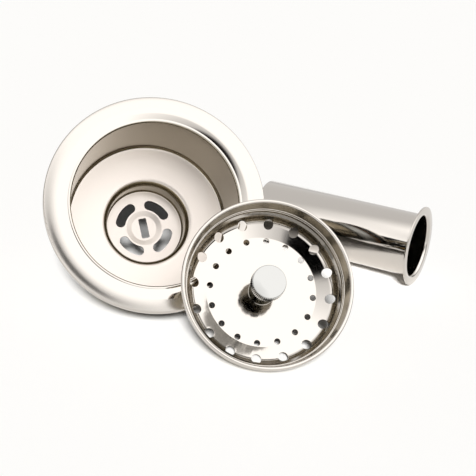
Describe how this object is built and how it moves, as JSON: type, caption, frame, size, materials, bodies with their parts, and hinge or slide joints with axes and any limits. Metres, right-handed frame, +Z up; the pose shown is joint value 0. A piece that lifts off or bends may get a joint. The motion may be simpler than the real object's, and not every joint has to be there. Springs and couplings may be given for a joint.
{
  "type": "kitchen sink drain",
  "caption": "Flanged stainless sink strainer cup with nuts and seals, its lift-out perforated basket with a turning knob and stopper, and a flanged outlet tube lying beside them.",
  "frame": {"origin": "middle of the set's footprint on the table", "axes": "+Z up from the table, -Y the way the strainer's mouth and the basket face"},
  "size_m": [0.2354, 0.1976, 0.107],
  "materials": {
    "polished_steel": "polished stainless steel",
    "chromed_brass": "polished chrome plate",
    "brass": "turned",
    "zinc": "die-cast zinc, as cast",
    "rubber": "matt black",
    "fibre": "pressed fibre",
    "polythene": "natural white"
  },
  "bodies": {
    "drain": {"strainer_body": "polished_steel", "outlet_nipple": "brass", "sink_gasket": "rubber", "friction_ring": "fibre", "locknut": "zinc", "tail_washer": "polythene", "coupling_nut": "zinc", "basket_cup": "polished_steel", "basket_bushing": "chromed_brass", "tailpiece": "polished_steel"},
    "post": {"basket_post": "chromed_brass", "lift_knob": "chromed_brass", "rubber_stopper": "rubber", "stopper_washer": "polished_steel", "stopper_nut": "brass", "cross_pin": "polished_steel"}
  },
  "joints": [
    {"name": "knob_turn", "type": "hinge", "parent": "drain", "child": "post", "pos_m": [-0.00815, -0.07333, 0.03998], "axis": [-0.0486, -0.795, 0.6046], "continuous": true}
  ]
}
